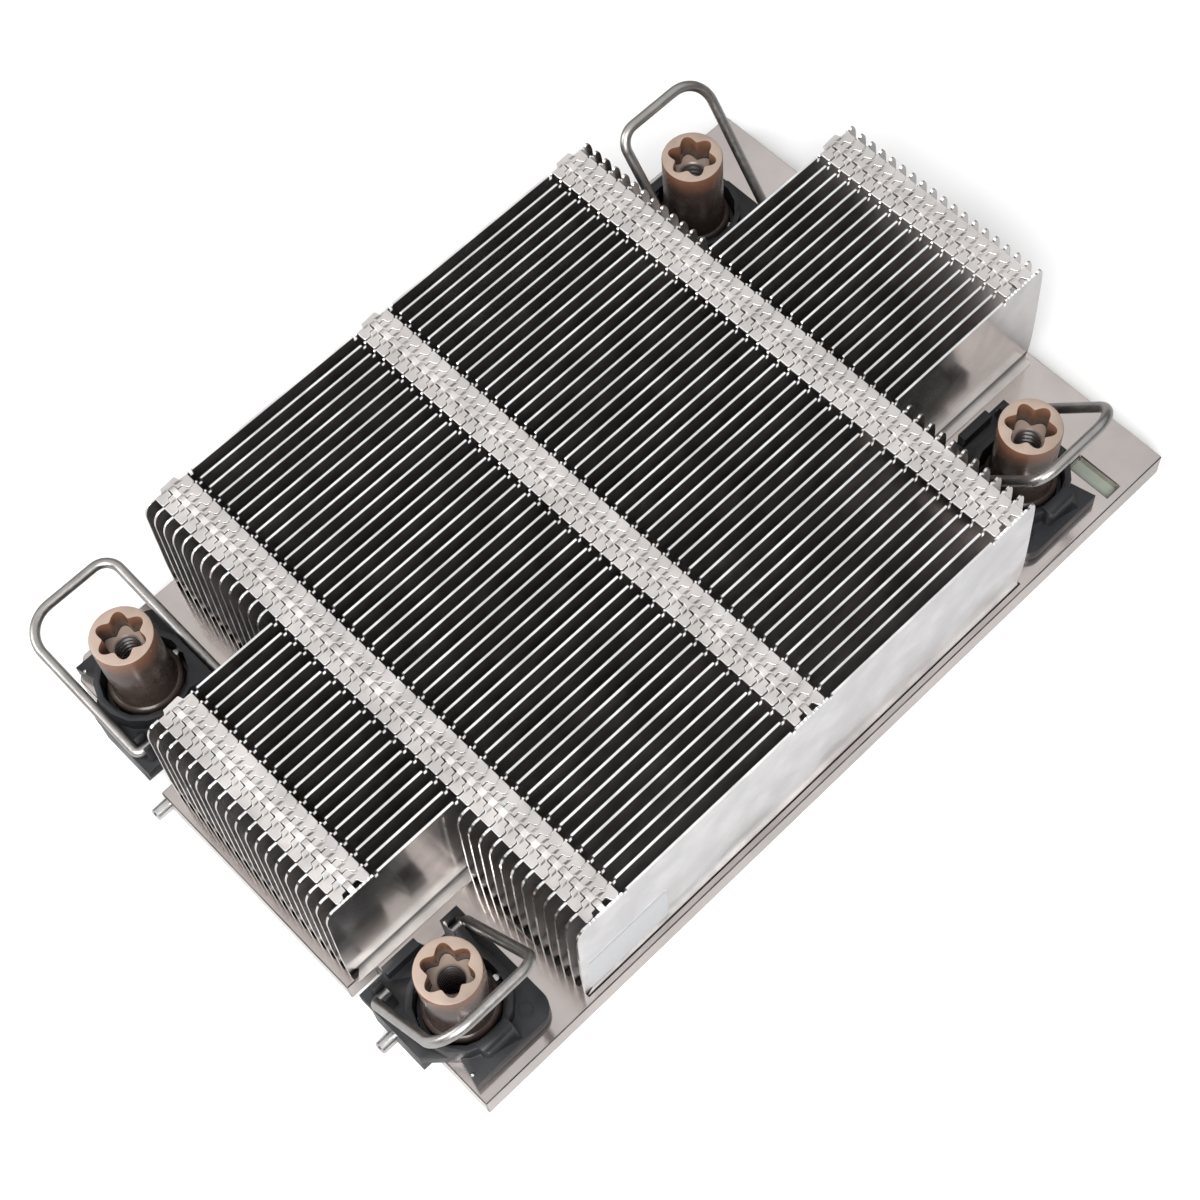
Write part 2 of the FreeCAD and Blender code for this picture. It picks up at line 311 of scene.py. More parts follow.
def scratch_group():
    """Thin random scratches in two directions."""
    group, _, leave = new_group("Hairline scratches", [], ["Mask"])
    masks = []
    for stretch in ((40, 900, 900), (700, 60, 700)):
        lines = object_noise(group, 1.0, stretch, detail=2)
        masks.append(spread(group, lines, 0.66, 0.72))
    top = group.nodes.new("ShaderNodeMath")
    top.operation = "MAXIMUM"
    join(group, masks[0], top.inputs[0])
    join(group, masks[1], top.inputs[1])
    join(group, top.outputs["Value"], leave.inputs["Mask"])
    return group


def drawn_group():
    """Lines along one axis, as rolling or drawing leaves them."""
    group, _, leave = new_group("Drawn lines", [], ["Mask"])
    lines = object_noise(group, 1.0, (30, 900, 900), detail=3)
    join(group, spread(group, lines, 0.35, 0.65), leave.inputs["Mask"])
    return group


GROUP_MAKERS = {
    "Fine grain": fine_grain_group,
    "Cloudy": cloud_group,
    "Hairline scratches": scratch_group,
    "Drawn lines": drawn_group,
}


def effect(tree, name, **values):
    """Place a shared effect in a material, built the first time that it is asked for."""
    group = bpy.data.node_groups.get(name) or GROUP_MAKERS[name]()
    node = tree.nodes.new("ShaderNodeGroup")
    node.node_tree = group
    for label, value in values.items():
        node.inputs[label].default_value = value
    return node


def new_material(name, metallic, roughness, specular=0.5):
    """Return a material with its tree and its shader."""
    material = bpy.data.materials.new(name)
    material.use_nodes = True
    tree = material.node_tree
    shader = tree.nodes["Principled BSDF"]
    shader.inputs["Metallic"].default_value = metallic
    shader.inputs["Roughness"].default_value = roughness
    shader.inputs["Specular IOR Level"].default_value = specular
    return material, tree, shader


def blend_colours(tree, mask, first, second, socket):
    """Feed a colour socket with a mix of two colours."""
    mix = tree.nodes.new("ShaderNodeMix")
    mix.data_type = "RGBA"
    mix.inputs["A"].default_value = (*first, 1)
    mix.inputs["B"].default_value = (*second, 1)
    join(tree, mask, mix.inputs["Factor"])
    join(tree, mix.outputs["Result"], socket)


PAINTED_FOOT_SHADE_HEIGHTS = (0.0051, 0.0054)  # painted shade on the fin webs just above the plate: from full shade to none, in metres over the underside
# the colour of the painted shade at the fins' feet
PAINTED_FOOT_SHADE_COLOUR = (0.03, 0.027, 0.025)
AMBER_HEIGHTS = (0.0165, 0.0202)  # from dark plastic to amber, in metres over the underside


def object_height(tree):
    """Return a socket with the height over the object's origin."""
    place = tree.nodes.new("ShaderNodeTexCoord")
    parts = tree.nodes.new("ShaderNodeSeparateXYZ")
    join(tree, place.outputs["Object"], parts.inputs["Vector"])
    return parts.outputs["Z"]


def bump(tree, shader, height, strength, distance):
    """Feed the shader's normal with a bump."""
    node = tree.nodes.new("ShaderNodeBump")
    node.inputs["Strength"].default_value = strength
    node.inputs["Distance"].default_value = distance
    join(tree, height, node.inputs["Height"])
    join(tree, node.outputs["Normal"], shader.inputs["Normal"])


def shade(base, factor):
    """Return a colour made darker or lighter."""
    return tuple(min(1.0, channel * factor) for channel in base)


def tones(base, dark, pale):
    """Return a darker and a paler tone of a colour."""
    return shade(base, dark), shade(base, pale)


def mottled(name, first, second, scale, metallic, roughness, specular=0.5, kind="Cloudy"):
    """Make a material whose colour drifts between two, and return it with the mask of that drift."""
    material, tree, shader = new_material(name, metallic, roughness, specular)
    mask = effect(tree, kind, Scale=scale).outputs["Mask"]
    blend_colours(tree, mask, first, second, shader.inputs["Base Color"])
    return material, tree, shader, mask


def cover(tree, shader, mask, tint):
    """Lay one more colour over the shader's own where a mask is 1."""
    target = shader.inputs["Base Color"]
    below = target.links[0].from_socket
    mix = tree.nodes.new("ShaderNodeMix")
    mix.data_type = "RGBA"
    mix.inputs["B"].default_value = (*tint, 1)
    join(tree, mask, mix.inputs["Factor"])
    join(tree, below, mix.inputs["A"])
    join(tree, mix.outputs["Result"], target)


def vary_roughness(tree, shader, mask, low, high):
    """Let the roughness follow a mask."""
    join(tree, spread(tree, mask, 0, 1, low, high), shader.inputs["Roughness"])


def plated_metal(settings):
    """Bright nickel plating with clouds, fine pits and hairline scratches."""
    material, tree, shader, clouds = mottled(
        "Nickel plating", *tones(settings.plate_colour, 0.88, 1.08), scale=70.0, metallic=1.0,
        roughness=0.12)
    vary_roughness(tree, shader, clouds, 0.06, 0.2)
    pits = effect(tree, "Fine grain", Scale=1500.0)
    scratches = effect(tree, "Hairline scratches")
    relief = tree.nodes.new("ShaderNodeMath")
    relief.operation = "MULTIPLY_ADD"
    relief.inputs[1].default_value = 0.35
    join(tree, pits.outputs["Height"], relief.inputs[0])
    join(tree, scratches.outputs["Mask"], relief.inputs[2])
    bump(tree, shader, relief.outputs["Value"], strength=0.3, distance=0.00002)
    return material


def fin_metal(name, base, roughness, metallic=1.0, painted_foot_shade=False):
    """Rolled aluminium sheet with fine drawn lines, darkened just above the plate as painted shade."""
    material, tree, shader, clouds = mottled(
        name, *tones(base, 0.9, 1.06), scale=220.0, metallic=metallic, roughness=roughness)
    if painted_foot_shade:
        # painted shade: the web is darkened just above the plate, where the fins meet it
        low = spread(tree, object_height(tree), *PAINTED_FOOT_SHADE_HEIGHTS, 1.0, 0.0)
        cover(tree, shader, low, PAINTED_FOOT_SHADE_COLOUR)
    vary_roughness(tree, shader, clouds, roughness * 0.85, roughness * 1.2)
    lines = effect(tree, "Drawn lines")
    bump(tree, shader, lines.outputs["Mask"], strength=0.12, distance=0.00001)
    return material


def nut_plastic(settings):
    """Brown plastic, dark on its side and amber near the rim, where light comes through it."""
    material, tree, shader, clouds = mottled(
        "Brown plastic", *tones(settings.side_colour, 0.85, 1.25), scale=420.0, metallic=0.0,
        roughness=0.24)
    cover(tree, shader, spread(tree, object_height(tree), *AMBER_HEIGHTS), settings.rim_colour)
    vary_roughness(tree, shader, clouds, 0.2, 0.28)
    return material


def nut_face_plastic(settings):
    """The same plastic where the cutter left it pale."""
    material, tree, shader, _ = mottled(
        "Pale brown plastic", *tones(settings.face_colour, 0.93, 1.06), scale=420.0, metallic=0.0,
        roughness=0.42, specular=0.45)
    grain = effect(tree, "Fine grain", Scale=2600.0)
    bump(tree, shader, grain.outputs["Height"], strength=0.15, distance=0.00003)
    return material


def black_plastic(settings):
    """Moulded black plastic with a fine grain."""
    material, tree, shader, clouds = mottled(
        "Black moulded plastic", *tones(settings.plastic_colour, 1.0, 1.7), scale=240.0, metallic=0.0,
        roughness=0.5, specular=0.45)
    vary_roughness(tree, shader, clouds, 0.3, 0.46)
    grain = effect(tree, "Fine grain", Scale=3200.0)
    bump(tree, shader, grain.outputs["Height"], strength=0.3, distance=0.00004)
    return material


def wire_steel(settings):
    """Drawn spring steel with a satin finish."""
    material, tree, shader, _ = mottled(
        "Drawn steel", *tones(settings.steel_colour, 0.88, 1.1), scale=300.0, metallic=1.0, roughness=0.3)
    grain = effect(tree, "Fine grain", Scale=2200.0)
    vary_roughness(tree, shader, grain.outputs["Mask"], 0.3, 0.42)
    bump(tree, shader, grain.outputs["Height"], strength=0.06, distance=0.00002)
    return material


def label_paper(settings):
    """Pale label stock with a faint fibre."""
    return mottled("Label stock", *tones(settings.label_colour, 1.0, 1.04), scale=1800.0, metallic=0.0,
                   roughness=0.55, kind="Fine grain")[0]


# Finishes that are plain but for a drift of colour: the two colours, the scale of the drift, metallic,
# roughness, and where they aren't the usual ones the specular level and the effect
PLAIN_FINISHES = {
    "Cut thread": ((0.5, 0.43, 0.4), (0.64, 0.56, 0.52), 500.0, 0.7, 0.3),
    "Bright steel": ((0.62, 0.61, 0.60), (0.76, 0.75, 0.74), 600.0, 1.0, 0.22),
    "Blackened steel": ((0.02, 0.02, 0.022), (0.05, 0.05, 0.05), 600.0, 0.8, 0.35),
    # painted shade: the near-black sheet at the fins' feet
    "Painted shade sheet": ((0.006, 0.005, 0.005), (0.02, 0.016, 0.014), 600.0, 0.0, 0.7, 0.2),
    # painted shade: the plate's broken edges are darkened
    "Plate edges with painted shade": ((0.16, 0.15, 0.145), (0.5, 0.46, 0.44), 300.0, 1.0, 0.3),
    "Greenish film": ((0.25, 0.28, 0.235), (0.31, 0.335, 0.285), 300.0, 0.0, 0.4),
    "Label ink": ((0.10, 0.10, 0.12), (0.16, 0.16, 0.18), 2400.0, 0.0, 0.5, 0.5, "Fine grain"),
}


def plain_finish(name):
    """Return a plain finish, made the first time that it is asked for."""
    return bpy.data.materials.get(name) or mottled(name, *PLAIN_FINISHES[name])[0]


# ---------------------------------------------------------------- fins

FIN_TOP = 24.5 * MM
FIN_PITCH = 1.75 * MM
TAB_WIDTH = 4.9 * MM
TAB_STARTS = tuple(start * MM for start in (-57.5, -39.5, -7.0, 26.4, 51.9))
NOTCH_ROOM = 3 * MM  # how far a tab stands from a fin's end before it gets a notch on that side

# The curve that parts one tab from the next, across the tab and back from the fold, in millimetres
SEAM_CURVE = (
    (0.88, 0.0), (1.05, -0.2), (1.2, -0.55), (1.76, -0.58), (1.84, -1.3), (1.95, -1.38), (2.66, -1.38),
    (2.76, -1.3), (2.82, -0.66), (3.42, -0.7), (3.56, -0.6), (3.72, -0.08), (3.92, 0.16), (4.2, 0.22),
    (4.55, 0.14),
)
BACK_CORNERS = ((0.0, 0.1), (0.1, 0.0)), ((4.8, 0.04), (4.9, 0.14))
FRONT_CORNERS = ((0.0, -0.16), (0.16, 0.0)), ((4.76, 0.04), (4.9, -0.14))
WINDOW_DEPTH = 0.75
OPEN_SLITS = ((0.0, 0.9), (1.8, 2.8), (3.7, 4.9))
TONGUE = (1.93 * MM, 2.67 * MM)
# The tongue's domed section: back from the fold in millimetres and share of its rise
TONGUE_SECTION = ((-0.25, 0.0), (0.1, 0.45), (0.5, 0.9), (0.85, 1.0), (1.15, 0.82), (1.3, 0.4))

# Ends of a fin in millimetres: in from the end and down from the top
LEFT_END = (
    (0.0, 14.0), (0.2, 8.0), (0.36, 3.2), (0.4, 2.1), (0.5, 1.45), (0.68, 0.92), (0.95, 0.45),
    (1.28, 0.14), (1.65, 0.0),
)
RIGHT_END = (
    (1.98, 0.0), (1.95, 0.42), (1.8, 0.45), (1.66, 0.38), (1.5, 0.14), (1.34, 0.0), (1.12, -0.05),
    (0.92, 0.05), (0.74, 0.28), (0.58, 0.68), (0.46, 1.25), (0.38, 2.0), (0.3, 3.6), (0.06, 10.0),
    (0.0, 13.0),
)
RIGHT_FOOT = ((0.0, 4.5), (0.08, 2.4), (0.3, 0.9), (0.7, 0.0))

# Places in a fin's list of materials, after the finish of its tabs and foot
WEB, CUT, OUTER = 1, 2, 3
FACING = 0.8  # share of its normal that a face has along an axis to count as looking that way


def fin_reach(number):
    """Return a fin's left end, right end and the outer face of its web."""
    low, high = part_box(FINS[number])
    return low.x, high.x, high.y


def tabs_between(first, second):
    """Return where tabs bridge two neighbouring fins."""
    if first < 0 or second >= len(FINS):
        return ()
    left = max(fin_reach(first)[0], fin_reach(second)[0])
    right = min(fin_reach(first)[1], fin_reach(second)[1])
    return tuple(start for start in TAB_STARTS if left < start < right)


def notch_points(at, side, top, settings):
    """Return one relief notch, running outwards from a tab's edge on one side."""
    near = settings.tooth
    far = near + settings.relief_width
    nick = 0.12 * MM
    steps = ((near - nick, 0), (near, nick), (near, settings.relief_depth), (far, settings.relief_depth),
             (far, nick), (far + nick, 0))
    return [(at + side * out, top - drop) for out, drop in steps]


def free_edge(start, top):
    """Return the small teeth on a fin's edge where it meets the last tab."""
    count, half, dip, rise = 8, 0.16 * MM, 0.06 * MM, 0.05 * MM
    teeth = []
    for step in range(count):
        x = start + (step + 0.5) * TAB_WIDTH / count
        teeth += [(x - half, top - dip), (x, top + rise), (x + half, top - dip)]
    return teeth


def web_outline(number, foot, settings):
    """Return the outline of a fin's web, anticlockwise from the lower left corner."""
    left, right, _ = fin_reach(number)
    top = FIN_TOP
    bridges = tabs_between(number, number + 1)
    outline = [(left, foot)] + [(left + inset * MM, top - drop * MM) for inset, drop in LEFT_END]
    for start in (start for start in TAB_STARTS if left < start < right):
        end, under = start + TAB_WIDTH, top - settings.sheet
        if start - left > NOTCH_ROOM:
            outline += notch_points(start, -1, top, settings)[::-1]
        if start in bridges:
            outline += [(start, top), (start, under), (end, under), (end, top)]
        else:
            outline += free_edge(start, top)
        if right - end > NOTCH_ROOM:
            outline += notch_points(end, 1, top, settings)
    outline += [(right - inset * MM, top - drop * MM) for inset, drop in RIGHT_END]
    outline += [(right - inset * MM, foot + rise * MM) for inset, rise in RIGHT_FOOT]
    return outline


def seam_gap(across, settings):
    """Return the gap between two tabs at a place across them."""
    in_slit = any(low <= across <= high for low, high in OPEN_SLITS)
    return settings.slit if in_slit else settings.seam


def tab_outline(start, fold, settings):
    """Return a tab's plan, between its seam with the last fin's tab and its seam with the next one."""
    back_curve = [point for point in SEAM_CURVE if point[1] > -WINDOW_DEPTH]
    sides = []
    for corners, curve, line, side in (
            (BACK_CORNERS, back_curve, fold, -1), (FRONT_CORNERS, SEAM_CURVE, fold - FIN_PITCH, 1)):
        sides.append([(start + across * MM, line - behind * MM + side * seam_gap(across, settings) / 2)
                      for across, behind in (*corners[0], *curve, *corners[1])])
    back, front = sides
    return back + front[::-1]


def add_tab(bm, start, number, fold, settings):
    """Add one tab, tipped a little so that no two catch the light alike."""
    most_tip, most_lean = 0.05 * MM, 0.02
    tip = noise.noise((start * 900, number * 1.7, 0)) * most_tip
    lean = noise.noise((start * 700, number * 2.3, 5)) * most_lean
    middle = start + TAB_WIDTH / 2
    points = [(x, y, FIN_TOP + tip * (fold - y) / FIN_PITCH + lean * (x - middle))
              for x, y in tab_outline(start, fold, settings)]
    faces = prism(bm, points, Z_AXIS * -settings.sheet)
    upper = max(faces, key=lambda face: face.calc_center_median().z)
    for face in break_edges(bm, list(upper.edges), settings.edge):
        face.material_index = CUT


def add_tongue(bm, start, fold, settings):
    """Add the domed tongue that a fin reaches back into the last tab's window."""
    low, high = start + TONGUE[0], start + TONGUE[1]
    under = FIN_TOP - settings.sheet
    round_off = 0.14 * MM
    points = [(low, fold + back * MM, FIN_TOP + share * settings.tongue_rise)
              for back, share in TONGUE_SECTION]
    points += [(low, fold + TONGUE_SECTION[end][0] * MM, under) for end in (-1, 0)]
    faces = prism(bm, points, X_AXIS * (high - low))
    for side in (low, high):
        rim = {edge for face in faces if face.is_valid for edge in face.edges
               if all(abs(vert.co.x - side) < MERGE and vert.co.z > FIN_TOP + SLACK for vert in edge.verts)}
        break_edges(bm, list(rim), round_off, 2)


def paint_web(faces, left, right, exposed):
    """Tell a web's bright faces from its sheared edges and from the last fin's outer face."""
    near_top, low_down = FIN_TOP - 2 * MM, FIN_TOP - 8 * MM
    end_face, first, last = left + 1 * MM, left + 1.9 * MM, right - 2 * MM
    for face in faces:
        middle, normal = face.calc_center_median(), face.normal
        on_top = abs(normal.z) > FACING and middle.z > near_top and first < middle.x < last
        low_end = abs(normal.x) > FACING and middle.x < end_face and middle.z < low_down
        if on_top or low_end:
            face.material_index = CUT
        elif exposed and abs(normal.y) > FACING:
            face.material_index = OUTER
        else:
            face.material_index = WEB


def fin_bmesh(number, settings):
    """Model one fin: its web, its foot, its tabs and its tongues."""
    left, right, fold = fin_reach(number)
    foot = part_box(FINS[number])[0].z
    last = number + 1 == len(FINS)
    bm = bmesh.new()
    outline = [(x, fold, z) for x, z in web_outline(number, foot, settings)]
    web = prism(bm, outline, Y_AXIS * -settings.sheet)
    bm.normal_update()
    paint_web(web, left, right, last)
    back = fold - settings.sheet
    front = back - settings.flange if last else fold - FIN_PITCH + settings.slit
    end, toe = right - RIGHT_FOOT[-1][0] * MM, left + 0.1 * MM
    prism(bm, [(left + settings.relief, back, foot), (end, back, foot), (end - settings.flange, front, foot),
               (toe, front, foot)], Z_AXIS * settings.sheet)
    for start in tabs_between(number, number + 1):
        add_tab(bm, start, number, fold, settings)
    for start in tabs_between(number - 1, number):
        add_tongue(bm, start, fold, settings)
    bmesh.ops.recalc_face_normals(bm, faces=bm.faces)
    half_tab, rim, level = 0.5 * TAB_WIDTH * FIN_PITCH, 0.15 * MM, 0.9
    tops = [face for face in bm.faces if face.normal.z > level and face.calc_area() > half_tab
            and face.calc_center_median().z > FIN_TOP - settings.sheet / 2]
    bmesh.ops.inset_individual(bm, faces=tops, thickness=rim, depth=-settings.dish, use_even_offset=True)
    return bm


class HEATSINK_OT_fins(bpy.types.Operator):
    """Model every folded fin of the stack"""
    bl_idname = "heatsink.fins"
    bl_label = "Fins"

    def execute(self, context):
        settings = context.scene.heatsink_fins
        tab = fin_metal("Fin tabs", settings.tab_colour, 0.36)
        # the webs carry painted shade just above the plate
        web = fin_metal("Fin webs", settings.web_colour, 0.18, 0.98, painted_foot_shade=True)
        cut = fin_metal("Sheared edges", settings.cut_colour, 0.5)
        outer = fin_metal("Outer web", settings.outer_colour, 0.34, 0.82)
        for number, node in enumerate(FINS):
            new_piece(node.replace("fin", "folded_fin"), fin_bmesh(number, settings), BODY,
                      [tab, web, cut, outer], [node])
        return {"FINISHED"}


class HEATSINK_OT_shade_sheet(bpy.types.Operator):
    """Lay a near-black sheet at the fins' feet, as painted shade where they meet the plate"""
    bl_idname = "heatsink.bond"
    bl_label = "Shade sheet"

    def execute(self, context):
        settings = context.scene.heatsink_fins
        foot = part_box(FINS[0])[0].z
        spill = 0.18 * MM
        depth = settings.sheet + settings.flange + spill
        bm = bmesh.new()
        for number in range(len(FINS)):
            left, right, fold = fin_reach(number)
            end, front = right - RIGHT_FOOT[-1][0] * MM, fold - depth
            prism(bm, [(left, fold, foot), (end, fold, foot), (end, front, foot), (left, front, foot)],
                  Z_AXIS * settings.bond)
        bmesh.ops.recalc_face_normals(bm, faces=bm.faces)
        # the near-black sheet is painted shade where the fins meet the plate
        new_piece("painted_shade_sheet_layer", bm, BODY, [plain_finish("Painted shade sheet")])
        return {"FINISHED"}


# ---------------------------------------------------------------- nuts

NUT_FOOT, NUT_TOP = 1.0 * MM, 20.0 * MM
# One turn of the thread: depth of the groove in millimetres and share of the pitch
THREAD_TURN = ((0, 0.0), (0, 0.4), (0.35, 0.6), (0.35, 0.75))


def socket_radius(angle, settings):
    """Return the radius of the six-lobed socket at an angle."""
    wave = (1 + math.cos(6 * angle)) / 2
    return settings.valley + (settings.tip - settings.valley) * wave ** 0.8


def nut_profile(settings):
    """Return the nut's outside, its socket's wall and its thread, each as a section from its start."""
    r, collar, bore = settings.radius, settings.collar, settings.bore
    floor, mouth = NUT_TOP - settings.depth, bore + 0.45 * MM
    outside = [
        (mouth, NUT_FOOT), (r - 0.4 * MM, NUT_FOOT), (r, NUT_FOOT + 0.4 * MM), (r, 4.1 * MM),
        (collar, 4.3 * MM), (collar, 7.6 * MM), (collar - 0.12 * MM, 7.8 * MM), (r + 0.22 * MM, 8.0 * MM),
        (r + 0.06 * MM, 9.5 * MM), (r, 12 * MM), (r, NUT_TOP - 0.3 * MM), (r - 0.08 * MM, NUT_TOP - 0.1 * MM),
        (r - 0.26 * MM, NUT_TOP),
    ]
    socket = [(settings.tip, NUT_TOP), (settings.tip, NUT_TOP - 0.12 * MM),
              (settings.tip, floor + 0.15 * MM), (settings.tip * 0.97, floor)]
    thread = [(bore + 0.18 * MM, floor), (bore, floor - 0.2 * MM)]
    height, run_out = floor - 0.35 * MM, 1.2 * MM
    for _ in range(int((floor - NUT_FOOT - run_out) / settings.pitch)):
        thread += [(bore + groove * MM, height - share * settings.pitch) for groove, share in THREAD_TURN]
        height -= settings.pitch
    thread += [(bore, height), (bore, NUT_FOOT + 0.3 * MM), (mouth, NUT_FOOT)]
    return outside, socket, thread


def cut_lobes(bm, settings):
    """Pull the socket's round wall in to six lobes, a little wider at its mouth."""
    bevel, floor = 0.08 * MM, NUT_TOP - settings.depth
    inner_share, outer_share = 0.95, 1.001
    for vert in bm.verts:
        flat = math.hypot(vert.co.x, vert.co.y)
        share = flat / settings.tip
        if vert.co.z > floor - SLACK and inner_share < share < outer_share:
            lobed = socket_radius(math.atan2(vert.co.y, vert.co.x), settings) * share
            if abs(vert.co.z - NUT_TOP) < SLACK:
                lobed += bevel
            vert.co.x *= lobed / flat
            vert.co.y *= lobed / flat


def nut_bmesh(corner, settings):
    """Spin the nut's section, cut its socket and tell its three finishes apart."""
    bm = bmesh.new()
    outside, socket, thread = nut_profile(settings)
    turned(bm, outside + socket + thread, 96)
    close_up(bm)
    bm.normal_update()
    cut_lobes(bm, settings)
    side, pale, steel = range(3)
    floor = NUT_TOP - settings.depth - 0.05 * MM
    for face in bm.faces:
        middle = face.calc_center_median()
        if middle.z < floor and math.hypot(middle.x, middle.y) < settings.bore + 0.1 * MM:
            face.material_index = steel
        elif middle.z > floor and abs(face.normal.z) > FACING:
            face.material_index = pale
        else:
            face.material_index = side
    smooth_by_angle(bm, 32)
    bmesh.ops.translate(bm, verts=bm.verts, vec=nut_axis(corner))
    return bm


class HEATSINK_OT_nuts(bpy.types.Operator):
    """Model the four captive nuts"""
    bl_idname = "heatsink.nuts"
    bl_label = "Nuts"

    def execute(self, context):
        settings = context.scene.heatsink_nuts
        materials = [nut_plastic(settings), nut_face_plastic(settings), plain_finish("Cut thread")]
        for corner in CORNERS:
            node = f"nut_{corner}"
            new_piece(f"lobed_nut_{corner}", nut_bmesh(corner, settings), node, materials, [node])
        return {"FINISHED"}


# ---------------------------------------------------------------- bails

def push_wire(bm, ring, vector):
    """Lengthen the wire straight ahead and return its new end."""
    grown = bmesh.ops.extrude_edge_only(bm, edges=ring)["geom"]
    moved = [item for item in grown if isinstance(item, bmesh.types.BMVert)]
    bmesh.ops.translate(bm, verts=moved, vec=vector)
    return [item for item in grown if isinstance(item, bmesh.types.BMEdge)
            and all(vert in moved for vert in item.verts)]


def bend_wire(bm, ring, centre, steps):
    """Bend the wire by a right angle about a centre in its plane and return its new end."""
    verts = list({vert for edge in ring for vert in edge.verts})
    spun = bmesh.ops.spin(bm, geom=verts + ring, cent=centre, axis=Z_AXIS, angle=math.radians(-90),
                          steps=steps, use_merge=False, use_duplicate=False)
    return [item for item in spun["geom_last"] if isinstance(item, bmesh.types.BMEdge)]


def bail_bmesh(corner, settings):
    """Run the wire from pivot to pivot, then lay it in its holder at its angle."""
    joint = JOINTS[f"bail_{corner}_swing"]
    half, reach = settings.half, settings.reach
    inner, outer, tight = settings.inner_bend, settings.outer_bend, 0.8 * MM
    pivot = X_AXIS * -(settings.pivot - tight)
    bm = bmesh.new()
    turn = Matrix.Translation((-half + settings.pivot, 0, 0)) @ Matrix.Rotation(math.pi / 2, 4, "Y")
    bmesh.ops.create_circle(bm, cap_ends=True, segments=20, radius=settings.wire, matrix=turn)
    ring = list(bm.edges)
    # Each straight run, the centre of the bend after it and the steps of that bend
    for run, centre, steps in (
            (pivot, (-half + tight, tight, 0), 8),
            (Y_AXIS * (reach - inner - tight), (-half + inner, reach - inner, 0), 14),
            (X_AXIS * (2 * half - inner - outer), (half - outer, reach - outer, 0), 18),
            (Y_AXIS * -(reach - outer - tight), (half - tight, tight, 0), 8)):
        ring = push_wire(bm, ring, run)
        ring = bend_wire(bm, ring, centre, steps)
    ring = push_wire(bm, ring, pivot)
    bmesh.ops.contextual_create(bm, geom=ring)
    close_up(bm)
    smooth_by_angle(bm, 50)
    rest = math.radians(-joint["range_deg"][0])
    bmesh.ops.rotate(bm, verts=bm.verts, cent=(0, 0, 0), matrix=Matrix.Rotation(rest, 3, "X"))
    to_corner(bm, corner, Vector(joint["pos_m"]))
    return bm


class HEATSINK_OT_bails(bpy.types.Operator):
    """Model the four wire bails"""
    bl_idname = "heatsink.bails"
    bl_label = "Bails"

    def execute(self, context):
        settings = context.scene.heatsink_bails
        steel = wire_steel(settings)
        for corner in CORNERS:
            node = f"bail_{corner}"
            new_piece(f"bent_wire_{corner}", bail_bmesh(corner, settings), node,
                      [steel], [node])
        return {"FINISHED"}


# ---------------------------------------------------------------- plate, holders and small parts

def side_signs(corner):
    """Return which sides of the plate a corner lies on."""
    axis = nut_axis(corner)
    return (1 if axis.x > 0 else -1), (1 if axis.y > 0 else -1)


def to_corner(bm, corner, place=None):
    """Move a mesh made in the holder's own outward frame to its corner."""
    bmesh.ops.scale(bm, verts=bm.verts, vec=(*side_signs(corner), 1))
    bmesh.ops.translate(bm, verts=bm.verts, vec=place or nut_axis(corner))
    bmesh.ops.recalc_face_normals(bm, faces=bm.faces)


def finish_node(name, node, materials, width, segments, first=None):
    """Replace a CAD node by a copy with broken edges, in the last of its materials."""
    bm = from_node(node)
    if first:
        first(bm)
    for face in break_edges(bm, sharp_edges(bm), width, segments):
        face.material_index = len(materials) - 1
    smooth_by_angle(bm, 30)
    new_piece(name, bm, BODY, materials, [node])


def round_lip(bm, corner, radius):
    """Round the upright outer edges of a holder's lip."""
    axis = nut_axis(corner)
    lip_half, lip_out, slack = 2.3 * MM, 7.05 * MM, 0.02 * MM
    uprights = []
    for edge in bm.edges:
        flat = [(abs(vert.co.x - axis.x), abs(vert.co.y - axis.y)) for vert in edge.verts]
        if all(abs(u - lip_half) < slack and abs(v - lip_out) < slack for u, v in flat):
            uprights.append(edge)
    break_edges(bm, uprights, radius, 5)


def widen_bearing(bm, corner):
    """Give the bail's pivots a little room in the holder's open bearings."""
    hinge = Vector(JOINTS[f"bail_{corner}_swing"]["pos_m"])
    reach, half, room = 6.4 * MM, 0.76 * MM, 1.14
    for vert in bm.verts:
        away = vert.co - hinge
        if abs(away.x) < reach and abs(away.y) < half and away.z > -half:
            vert.co.y = hinge.y + away.y * room
            vert.co.z = hinge.z + min(away.z, away.z * room)


def shape_holder(bm, corner, lip_round):
    """Round a holder's lip and open its bearings."""
    round_lip(bm, corner, lip_round)
    widen_bearing(bm, corner)


class HEATSINK_OT_plate(bpy.types.Operator):
    """Finish the plated base"""
    bl_idname = "heatsink.plate"
    bl_label = "Base plate"

    def execute(self, context):
        settings = context.scene.heatsink_base
        # the plate's broken edges get painted shade
        finish_node("plated_base", "base_plate",
                    [plated_metal(settings), plain_finish("Plate edges with painted shade")], settings.edge, 1)
        return {"FINISHED"}


class HEATSINK_OT_holders(bpy.types.Operator):
    """Finish the four moulded holders"""
    bl_idname = "heatsink.holders"
    bl_label = "Holders"

    def execute(self, context):
        settings = context.scene.heatsink_base
        plastic = black_plastic(settings)
        for corner in CORNERS:
            finish_node(f"moulded_holder_{corner}", f"holder_{corner}", [plastic],
                        settings.moulded_edge, 2, lambda bm: shape_holder(bm, corner, settings.lip_round))
        return {"FINISHED"}


